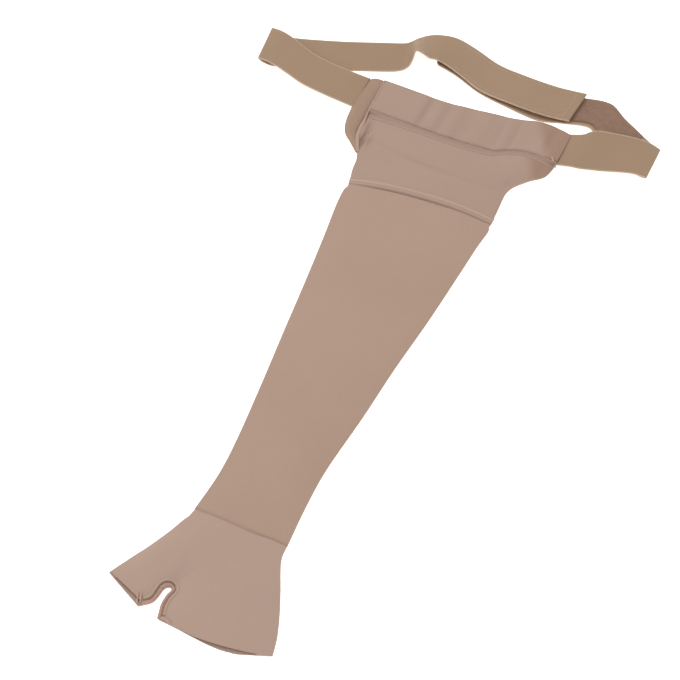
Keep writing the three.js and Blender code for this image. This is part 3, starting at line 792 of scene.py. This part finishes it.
# %% [markdown]
# A bar tack is a small block of tight stitches that keeps a seam's end from opening. Each one here is one
# or two beaded bars: the same rounded profile, swelling and thinning along its length.

# %% Bar tacks
TACK_STEPS = 60


def bar_tack(name, start, end, width, high, beads, surface=None):
    def size_at(i):
        share = i / TACK_STEPS
        bead = 0.86 + 0.14 * math.cos(2 * math.pi * beads * share)
        size = bead * min(1.0, 6 * share + 0.3, 6.3 - 6 * share)
        return size, size

    path = []
    for k in range(TACK_STEPS + 1):
        x, y = Vector(start).lerp(Vector(end), k / TACK_STEPS)
        path.append((x, y, (surface or tack_bed)(x, y)))
    for _ in range(12):
        for k in range(1, TACK_STEPS):
            path[k] = (*path[k][:2], (path[k - 1][2] + path[k][2] + path[k + 1][2]) / 3)
    return dress(carried_profile(name, path, bound_profile(width, high, 16), size_at), TACK_SEWN, [])


binding_top = top_of(binding)


def tack_bed(x, y):
    return max(hand_top(x, y, 1.0), binding_top(x, y, 1.0)) - 0.1


print("heights in mm: thumb's corner", round(hand_top(-52, -92), 1),
      "and binding", round(binding_top(-46.4, -102.2), 1))
tacks = [
    bar_tack("thumb_corner_tack_a", (-51.4, -94.6), (-48.0, -103.3), 2.0, 2.3, 6),
    bar_tack("thumb_corner_tack_b", (-48.8, -93.8), (-45.4, -102.2), 2.0, 2.3, 6),
    bar_tack("palm_corner_tack", (-22.5, -106.3), (-11.5, -108.4), 2.8, 1.8, 9),
]

# %% [markdown]
# ## The shoulder cap
# Above the hem the tube spreads to the band. Its lower layer is cut away in a curve for the arm. The upper
# layer has one long shallow dent and a rolled fold beside the left lobe.

# %% Shoulder cap
CAP_ROWS = [  # left x, left y, right x, right y, crown, bow
    (-0.973, 0, 1.008, 0, 1, 0.04),
    (-1.028, 0.2, 1.003, 0.2, 1, 0.03),
    (-1.05, 0.35, 0.998, 0.38, 1, 0.01),
    (-1.085, 0.44, 1.004, 0.49, 1, 0),
    (-1.14, 0.54, 1.06, 0.612, 1, 0),
    (-1.21, 0.67, 1.215, 0.775, 1, 0),
    (-1.25, 0.86, 1.385, 0.925, 0.97, 0),
    (-1.257, 1.2, 1.448, 1.2, 0.93, 0),
]
JOIN_ROWS = [  # x as a share of the arm's half width, y as a share of the cap's length
    (-1.254, 1.06), (-1.043, 1.045), (-0.695, 1.025), (-0.348, 1.005),
    (0, 0.995), (0.348, 1), (0.602, 1.015), (0.788, 1.1),
    (0.985, 1.15), (1.216, 1.155), (1.442, 1.145),
]
cap_left_y = hem_row[1] + HEM_WIDTH / 2 + GAP
cap_right_y = hem_row[3] + HEM_WIDTH / 2 + GAP
join_base = (cap_left_y + cap_right_y) / 2


def cap_row(row):
    left_x, left_y, right_x, right_y, crown, bow = row
    return [ARM_TOP_HALF * left_x, cap_left_y + CAP_LENGTH * left_y,
            ARM_TOP_HALF * right_x, cap_right_y + CAP_LENGTH * right_y,
            TUBE_CROWN * crown, CAP_LENGTH * bow]


def cap_swell(x, y):
    up = y - cap_left_y
    dent = -1.9 * bump_at(up, 50 - 0.1 * (x + 10) + 0.0012 * (x + 10) ** 2, 4.5) * bump_at(x, -14, 50)
    from_crease = x + 90 + 0.12 * max(0.0, y - 500)
    crease = -8.0 * bump_at(from_crease, 0, 2.2) * bump_at(y, 486, 10)
    crease -= 3.0 * bump_at(from_crease, 0.5, 3.6) * bump_at(y, 507, 14)
    roll = 3.0 * bump_at(from_crease, -7.0, 4.2) * bump_at(y, 500, 22)
    roll += 2.9 * bump_at(from_crease, 5.0, 3.4) * bump_at(y, 488, 12)
    fan = 0.6 * math.sin((x + up * 0.5) / 15) * bump_at(up, 84, 26)
    dimple = -2.4 * bump_at(x, 84, 9) * bump_at(up, 62, 7)
    corner = -2.0 * bump_at(x, 106, 8) * bump_at(y, 521, 12)
    return dent + crease + roll + fan + dimple + corner + 0.5 * noise.noise(Vector((x / 32, up / 28, 5.5)))


JOIN_STEPS, CAP_STEPS = 120, 100
join = [(ARM_TOP_HALF * x, join_base + CAP_LENGTH * y) for x, y in smoothed(JOIN_ROWS, JOIN_STEPS + 1)]
cap_slices = []
for k, row in enumerate(smoothed([cap_row(r) for r in CAP_ROWS], CAP_STEPS)):
    sharp = 2.6 + 9 * max(0.0, k / (CAP_STEPS - 1) - 0.35)
    cap_slices.append(flat_ring(row, swell=cap_swell, sharp=sharp, steps=170, spread=1.5, firm=40))
cap = grow_skin("cap_tube", cap_slices, True)
thicken(cap, CLOTH, -1)
far = CAP_LENGTH
above = [(join[0][0] - far, join[0][1])] + join + [(join[-1][0] + far, join[-1][1])]
above += [(join[-1][0] + far, join[-1][1] + far), (join[0][0] - far, join[0][1] + far)]
cap = combine(cap, cutter("cap_end", above, -12, 30), "DIFFERENCE")
ARMHOLE_DEPTH, ARMHOLE_MARGIN, ARMHOLE_ROUND = 72.0, 9.0, 0.7
cap_top = cap_row(CAP_ROWS[-1])
hole_half = (cap_top[2] - cap_top[0]) / 2 - ARMHOLE_MARGIN
hole_x, hole_y = (cap_top[2] + cap_top[0]) / 2, max(cap_top[1], cap_top[3])
hole = []
for k in range(41):
    c, s = math.cos(math.pi * (1 + k / 40)), math.sin(math.pi * (1 + k / 40))
    hole.append((hole_x + hole_half * math.copysign(abs(c) ** ARMHOLE_ROUND, c), hole_y + ARMHOLE_DEPTH * s))
cap = combine(cap, cutter("armhole", hole, -3, 1.9), "DIFFERENCE")
cap.name = "shoulder_cap_knit"
dress(cap, CAP_KNIT, ["shoulder_cap"])

# %% [markdown]
# ## Ribbons
# The band, its seam and the straps are flat strips between two edge lines. A station is a pair of points,
# one on each edge. The strip is grown from station to station, and can be sunk below another one, which is
# how the fastening patches sit on the strap's faces.

# %% Ribbon from two edge lines
def ribbon(name, stations, thickness, steps=12, sink=0.0, arch=None):
    slices = []
    for i, (far_edge, near_edge) in enumerate(stations):
        before, after = stations[max(i - 1, 0)], stations[min(i + 1, len(stations) - 1)]
        along = after[0] + after[1] - before[0] - before[1]
        normal = along.cross(far_edge - near_edge).normalized()
        row = []
        for k in range(steps + 1):
            lift = sink + (arch(i / (len(stations) - 1), k / steps) if arch else 0.0)
            row.append(tuple(far_edge.lerp(near_edge, k / steps) + normal * lift))
        slices.append(row)
    strip = grow_skin(name, slices, False)
    thicken(strip, thickness, 0)
    return strip


# %% [markdown]
# ## The band along the top
# A wide soft elastic, sewn to the cap by a raised seam. A few soft folds run across it where it isn't
# stretched.

# %% The band
BAND_THICK, BAND_DROP, BAND_LEAN = 1.4, 1.6, 0.35
BAND_FOLDS = [  # share of the band's length, height, half width as a share
    (0.21, 0.5, 0.03),
    (0.253, -1.3, 0.014),
    (0.295, 0.6, 0.02),
    (0.34, -1.0, 0.014),
    (0.385, 0.6, 0.02),
    (0.435, -0.9, 0.018),
    (0.52, 0.5, 0.04),
    (0.586, -0.7, 0.02),
    (0.694, -1.0, 0.018),
    (0.87, 0.9, 0.02),
    (0.915, -1.4, 0.016),
    (0.955, 0.6, 0.02),
]
TOP_ROWS = [  # the band's free edge: x as a share of the arm's half width, y as a share of the cap's length
    (-1.276, 1.633), (-1.05, 1.623), (-0.695, 1.602), (-0.348, 1.582),
    (0, 1.601), (0.348, 1.629), (0.602, 1.647), (0.788, 1.68),
    (0.985, 1.724), (1.216, 1.716), (1.467, 1.663),
]


def band_arch(share):
    fade = math.sin(math.pi * share) ** 0.4
    return fade * sum(h * bump_at(share, c, w) for c, h, w in BAND_FOLDS)


def across_band(i, reach):
    a, b = join[max(i - 1, 0)], join[min(i + 1, JOIN_STEPS)]
    side = Vector((a[1] - b[1], b[0] - a[0])).normalized()
    share = i / JOIN_STEPS
    lift = BAND_LIFT + band_arch(share) * 0.2
    return Vector((join[i][0] + side.x * BAND_LEAN * reach, join[i][1] + side.y * reach, lift))


band_foot = BAND_SEAM_WIDTH / 2
free_edge = []
for i, (x, y) in enumerate(smoothed(TOP_ROWS, JOIN_STEPS + 1)):
    lift = BAND_LIFT - BAND_DROP + band_arch(i / JOIN_STEPS) * 0.2
    free_edge.append(Vector((ARM_TOP_HALF * x, join_base + CAP_LENGTH * y, lift)))
band_edges = [(free_edge[i], across_band(i, band_foot)) for i in range(JOIN_STEPS + 1)]
band = ribbon("soft_band", band_edges, BAND_THICK,
              arch=lambda s, a: 1.1 * band_arch(s) * math.sin(math.pi * a) ** 0.6)
dress(band, BAND_KNIT, ["top_band"])

# %% [markdown]
# The real seam is a flat row of stitches over the cap's edge. It is one strip whose points take their
# height from the band on one side and from the cap on the other.

# %% Seam between band and cap
SEAM_PLACES = (3.4, 2.7, 1.8, 0.9, 0.0, -0.9, -1.8, -2.7, -3.6, -4.5, -5.4, -6.2)
cap_top_at = top_of(cap)
seam_slices = []
for i in range(JOIN_STEPS + 1):
    drop = 1.6 * bump_at(i / JOIN_STEPS, 0, 0.3) - 1.2 * bump_at(i / JOIN_STEPS, 0.85, 0.2)
    strip = []
    for reach in SEAM_PLACES:
        x, y, lift = across_band(i, reach if reach > 2 else reach - drop * (2 - reach) / 8)
        under = cap_top_at(x, y, 7.0)
        blend = min(1.0, max(0.0, (2.6 - reach) / 3.4))
        strip.append((x, y, (lift - 0.3) * (1 - blend) + (under - 0.15) * blend))
    seam_slices.append(strip)
band_seam = grow_skin("raised_band_seam", seam_slices, False)
thicken(band_seam, 0.9, 0)
dress(band_seam, BAND_SEWN, ["band_seam"])
tacks.append(bar_tack("band_corner_tack", (110.5, 546.0), (114.9, 538.9), 2.2, 1.4, 6,
                      lambda x, y: 7.3))

# %% [markdown]
# ## The side panel
# A darker piece comes round from the back: a folded lobe beside the cap, and above it the end to which the
# strap is sewn.

# %% Side panel
PANEL_ROWS = [  # left x, left y, right x, right y, crown, share of the band's width
    (-1.118, 0.47, -1.066, 0.49, 0.8, 0),
    (-1.272, 0.6, -1.18, 0.63, 1, 0),
    (-1.39, 0.7, -1.25, 0.76, 1, 0),
    (-1.466, 0.85, -1.265, 0.9, 1, 0),
    (-1.506, 1.07, -1.267, 1.06, 1, 0),
    (-1.518, 1.06, -1.274, 1.06, 1, 0.51),
    (-1.495, 1.06, -1.28, 1.08, 1, 0.93),
]
PANEL_CROWN, PANEL_CLOTH, PANEL_FOLD = 5.0, 1.1, 1.6


def panel_row(row):
    left_x, left_y, right_x, right_y, crown, up = row
    return [ARM_TOP_HALF * left_x, cap_left_y + CAP_LENGTH * left_y + BAND_WIDTH * up,
            ARM_TOP_HALF * right_x, cap_left_y + CAP_LENGTH * right_y + BAND_WIDTH * up,
            PANEL_CROWN * crown, 0]


panel_rows = smoothed([panel_row(r) for r in PANEL_ROWS], 90)
for k, row in enumerate(panel_rows):
    share = k / (len(panel_rows) - 1)
    row[2] += 6.0 * share ** 0.5
    row[4] += 1.8 * min(1.0, 1.5 * share)
    upper = max(0.0, share - 0.8)
    row[1] += 50 * upper
    row[3] += 44 * upper
panel = grow_skin("side_panel_knit", [flat_ring(r, edge=PANEL_FOLD) for r in panel_rows], True)
thicken(panel, PANEL_CLOTH, -1)
dress(panel, PANEL_KNIT, ["side_panel"])

# %% [markdown]
# A narrow bound seam joins the panel to the band and to the cap. It starts at the band's upper corner, runs
# down the band's end, and follows the lobe round to the cap's side.

# %% Bound seam beside the panel
TAPE_PATH = [  # x, y, height of its foot
    (-104.4, 584.0, 5.2),
    (-103.2, 556.0, 6.2),
    (-102.0, 531.0, 6.4),
    (-100.4, 516.0, 5.7),
    (-100.0, 504.0, 5.1),
    (-98.3, 491.0, 4.7),
    (-93.8, 480.0, 3.8),
    (-88.2, 469.5, 3.0),
]
TAPE_STEPS, LOBE_FROM, LOBE_FADE = 120, 42, 22


def tape_size(i):
    below_band = min(1.0, max(0.0, (i - LOBE_FROM) / LOBE_FADE))
    below_band *= min(1.0, (TAPE_STEPS - 1 - i) / LOBE_FADE)
    return 1.0 + 1.1 * below_band, 1.0 + 0.25 * below_band


tape_path = smoothed(TAPE_PATH, TAPE_STEPS)
panel_tape = carried_profile("panel_bound_seam", tape_path, bound_profile(2.0, 1.5, 20), tape_size)
dress(panel_tape, TAPE_SEWN, [])

# %% [markdown]
# ## The chest strap
# Two halves of woven elastic leave the garment left and right, each folds back under itself, and the left
# one ends on top of the right one. The table gives the middle of the strap, the turn of its width, and how
# high each edge stands, so the kink where it tips up is part of the same strip.

# %% Strap stations
HOOK_STRAP = [  # x, y, turn in degrees, far lift, near lift, share of the stack it lies on
    (0, 0.03, 1, 0.19, 0.19, 0),
    (-0.24, 0.036, 1, 0.46, 0.56, 0),
    (-0.484, 0.08, 0, 0.58, 0.73, 0),
    (-0.659, 0.158, 0, 0.68, 0.83, 0),
    (-0.781, 0.22, 1, 0.88, 0.78, 0),
    (-0.905, 0.27, 3, 1.03, 0.62, 0),
    (-1.01, 0.3, 6, 0.78, 0.34, 0),
    (-0.93, 0.285, 4, 0.42, 0.04, 0),
    (-0.807, 0.302, 3, 0.22, 0.03, 0),
    (-0.421, 0.475, 2, 0.17, 0.03, 0),
    (-0.062, 0.668, 7, 0.09, 0.03, 0),
    (0.128, 0.773, 12.5, 0.03, 0.17, 0),
    (0.188, 0.825, 19, 0.04, 0.68, 0),
    (0.214, 0.86, 20, 0.17, 1.57, 0),
    (0.236, 0.892, 19, 0.42, 2.62, 0),
    (0.278, 0.912, 22, 0.49, 2.34, 0.3),
    (0.342, 0.96, 20, 0.51, 1.46, 0.6),
    (0.412, 1.005, 15, 0.44, 1.07, 0.8),
    (0.525, 1.032, 4.5, 0.26, 0.5, 1),
    (0.704, 0.965, 0.5, 0.12, 0.13, 1),
    (0.938, 0.826, -5.5, 0.06, 0.1, 1),
    (1.186, 0.774, 0.5, 0.08, 0.1, 1),
    (1.49, 0.743, -2.5, 0.1, 0.1, 1),
    (1.741, 0.768, -6.5, 0.14, 0.12, 1),
]
LOOP_STRAP = [
    (-0.065, 0, 0, 0.33, 0.39, 0),
    (0.126, 0.035, 0.5, 0.725, 0.475, 0),
    (0.223, 0.055, 5.5, 1.225, 0.375, 0),
    (0.336, 0.09, 10.5, 1.575, 0.275, 0),
    (0.47, 0.12, 8, 1.475, 0.345, 0),
    (0.696, 0.175, 4, 1.175, 0.525, 0),
    (0.863, 0.2, -2, 0.875, 0.625, 0),
    (1.015, 0.195, -2.5, 0.375, 0.605, 0),
    (0.935, 0.237, -4, 0.125, 0.175, 0),
    (0.772, 0.325, -12, 0.045, 0.065, 0),
    (0.567, 0.445, -20, 0.025, 0.225, 0),
    (0.395, 0.555, -20, 0.025, 0.425, 0),
    (0.239, 0.69, -16, 0.025, 0.325, 0),
    (0.126, 0.715, -15, 0.025, 0.175, 0),
    (0.019, 0.705, -14.5, 0.025, 0.055, 0),
    (-0.159, 0.665, -11.5, 0.025, 0.055, 0),
    (-0.476, 0.61, -5, 0.075, 0.025, 0),
    (-0.922, 0.68, -6, 0.065, 0.025, 0),
    (-1.277, 0.762, -6, 0.025, 0.05, 0),
    (-1.659, 0.92, -3, 0.025, 0.08, 0),
    (-1.96, 0.996, -2, 0.025, 0.2, 0),
]
HOOK_THICK, LOOP_THICK = 1.0, 1.0
STACK = STRAP_THICK + LOOP_THICK + HOOK_THICK + 3 * GAP


def strap_edges(anchor, reach, row):
    x, y, turn, far_lift, near_lift, stacked = row
    far_lift, near_lift = max(0.0, far_lift), max(0.0, near_lift)
    lift = STRAP_LIFT * (far_lift - near_lift) / 2
    flat = math.sqrt((STRAP_WIDTH / 2) ** 2 - lift ** 2)
    height = STRAP_THICK / 2 + STACK * stacked + STRAP_LIFT * (far_lift + near_lift) / 2
    middle = Vector((anchor[0] + reach * x, anchor[1] + LOOP_DEPTH * y, height))
    angle = math.radians(turn)
    side = Vector((-math.sin(angle) * flat, math.cos(angle) * flat, lift))
    return middle + side, middle - side


hook_anchor = (panel_row(PANEL_ROWS[5])[0] + 2.5, join[0][1] + BAND_WIDTH / 2)
loop_anchor = (max(p.x for p in band_edges[-1]) + 0.1, join[-1][1] + BAND_WIDTH / 2)
hook_run = [strap_edges(hook_anchor, HOOK_REACH, r) for r in smoothed(HOOK_STRAP, 260)]
loop_run = [strap_edges(loop_anchor, LOOP_REACH, r) for r in smoothed(LOOP_STRAP, 220)]


def rounded_end(run, radius, back=4):
    start, end = run[-back - 1], run[-1]
    long = ((end[0] + end[1]) - (start[0] + start[1])).length / 2
    tip = []
    for k in range(1, 13):
        place = math.sin(math.pi / 2 * k / 12)
        left = long * (1 - place)
        inset = radius - math.sqrt(max(0.0, radius ** 2 - max(0.0, radius - left) ** 2))
        pair = [a.lerp(b, place) for a, b in zip(start, end)]
        side = (pair[0] - pair[1]).normalized()
        tip.append((pair[0] - side * inset, pair[1] + side * inset))
    return run[:-back] + tip


loop_run = rounded_end(loop_run, 6.0)


def run_length(run):
    middles = [(a + b) / 2 for a, b in run]
    return sum((b - a).length for a, b in zip(middles, middles[1:]))


print("strap halves in mm:", round(run_length(hook_run)), round(run_length(loop_run)))

# %% [markdown]
# Each half is a ribbon through its stations. Both patches are thinner ribbons over a part of the same
# run, sunk to the face that they are sewn to, so that they bend with the strap.

# %% Straps and fastening patches
strap_left = ribbon("strap_left_half", hook_run, STRAP_THICK, steps=24)
dress(strap_left, STRAP_WEAVE, ["strap_hook_end"])
strap_right = ribbon("strap_right_half", loop_run, STRAP_THICK, steps=24)
dress(strap_right, STRAP_WEAVE, ["strap_loop_end"])


def patch(name, run, start, end, far_margin, near_margin, thickness):
    last = len(run) - 1
    edges = []
    chosen = run[round(start * last):round(end * last) + 1]
    for k, (far_edge, near_edge) in enumerate(chosen):
        side = (far_edge - near_edge).normalized()
        near_by = near_margin * min(1.0, 0.25 + 6 * k / len(chosen))
        edges.append((far_edge - side * far_margin, near_edge + side * near_by))
    piece = ribbon(name, edges, thickness, sink=-(STRAP_THICK + thickness) / 2)
    print(name, "is", round(run_length(edges)), "mm long")
    return piece


hook_patch = patch("hook_fastening", hook_run, 0.81, 0.985, 3, 3, HOOK_THICK)
dress(hook_patch, HOOKS, ["hook_patch"])
loop_patch = patch("pile_fastening", loop_run, 0.45, 1.0, 1.5, 5, LOOP_THICK)
dress(loop_patch, PILE, ["loop_patch"])

# %% [markdown]
# Two rows of stitches hold the hook tape under the strap's free end, and one row crosses its cut end. One
# more lies in the groove at the notch. A stitch is a short six-sided bar, turned to follow its line.

# %% Rows of stitches
def stitches_along(name, line, pitch=3.0, long=2.1, thick=0.5):
    bm = bmesh.new()
    travelled, due, count = 0.0, 0.0, 0
    for a, b in zip(line, line[1:]):
        travelled += (b - a).length
        if travelled < due:
            continue
        due += pitch
        count += 1
        place = (b - a).to_track_quat("Z", "Y").to_matrix().to_4x4()
        place.translation = metres((a + b) / 2)
        bmesh.ops.create_cone(bm, cap_ends=True, segments=6, radius1=thick * 0.0005, radius2=thick * 0.0005,
                              depth=long * 0.001, matrix=place)
    print(name, "has", count, "stitches")
    return as_object(name, bm)


THREAD = thread("thread", (0.55, 0.405, 0.29))
DARK_THREAD = thread("dark_thread", (0.27, 0.165, 0.115))
on_strap = Vector((0, 0, STRAP_THICK / 2))
stitched = hook_run[round(0.8 * len(hook_run)):-4]
rows = []
for name, share in (("hook_row_far", 0.11), ("hook_row_near", 0.89)):
    rows.append(stitches_along(name, [a.lerp(b, share) + on_strap for a, b in stitched]))
far_edge, near_edge = hook_run[-5]
across = [far_edge.lerp(near_edge, 0.11 + 0.78 * k / 40) + on_strap for k in range(41)]
rows.append(stitches_along("hook_row_end", across))
for row in rows:
    dress(row, THREAD, [])
groove = [Vector(p) for p in moved_aside(notch, 2.1, lambda x, y: hand_top(x, y, 5.0) + 0.1)]
groove_row = stitches_along("groove_stitches", groove[3:-2], 2.3, 1.9, 0.8)
dress(groove_row, DARK_THREAD, [])

# %% [markdown]
# ## Strap lengths
# The length of each strap half, in metres, is worked out here and not used.

run_length(hook_run) * 0.001
run_length(loop_run) * 0.001

# %% [markdown]
# ## Floor, light and camera
# The photograph was taken on a bright white ground in very soft light. The floor is a wide pale sheet, the
# sky gives light from everywhere, and one large lamp above and to the left shapes the folds.

# %% Floor
FLOOR_HALF = 6.0
bm = bmesh.new()
bmesh.ops.create_grid(bm, x_segments=1, y_segments=1, size=FLOOR_HALF)
floor = as_object("studio_floor", bm)
floor.location = (0, 0, -0.0004)
pale, tree, shader = node_set("pale_floor")
shader.inputs["Base Color"].default_value = (0.93, 0.93, 0.93, 1)
shader.inputs["Roughness"].default_value = 0.9
shader.inputs["Emission Color"].default_value = (1, 1, 1, 1)
shader.inputs["Emission Strength"].default_value = 0.75
floor.data.materials.append(pale)
print("floor is", 2 * FLOOR_HALF, "m wide")

# %% Light
world = bpy.data.worlds.new("soft_sky")
world.use_nodes = True
world.node_tree.nodes["Background"].inputs["Color"].default_value = (1, 1, 1, 1)
world.node_tree.nodes["Background"].inputs["Strength"].default_value = 0.85
bpy.context.scene.world = world
bpy.context.scene.view_settings.view_transform = "Standard"


def aimed(name, data, place, aim):
    obj = bpy.data.objects.new(name, data)
    obj.location = place
    obj.rotation_euler = (Vector(aim) - Vector(place)).to_track_quat("-Z", "Y").to_euler()
    bpy.context.scene.collection.objects.link(obj)
    return obj


lamp = bpy.data.lights.new("key_lamp", "AREA")
lamp.shape, lamp.size, lamp.energy = "DISK", 2.6, 75
aimed("key_lamp", lamp, (-2.4, 1.6, 4.2), (0, 0, 0))
print("lamp", lamp.size, "m wide,", lamp.energy, "W")

# %% [markdown]
# The camera stands where the photograph's did, worked out from the wrist seam lying square to the arm and
# from the straps' even width.

# %% Camera
AIM = Vector((0.021, -0.0583, 0.0))
STAND = AIM + Vector((0.3149, -0.7072, 1.0655))
camera = bpy.data.cameras.new("camera")
camera.lens, camera.sensor_width = 70.0, 36.0
bpy.context.scene.camera = aimed("camera", camera, STAND, AIM)
print("camera stands", round((STAND - AIM).length, 3), "m from its aim")
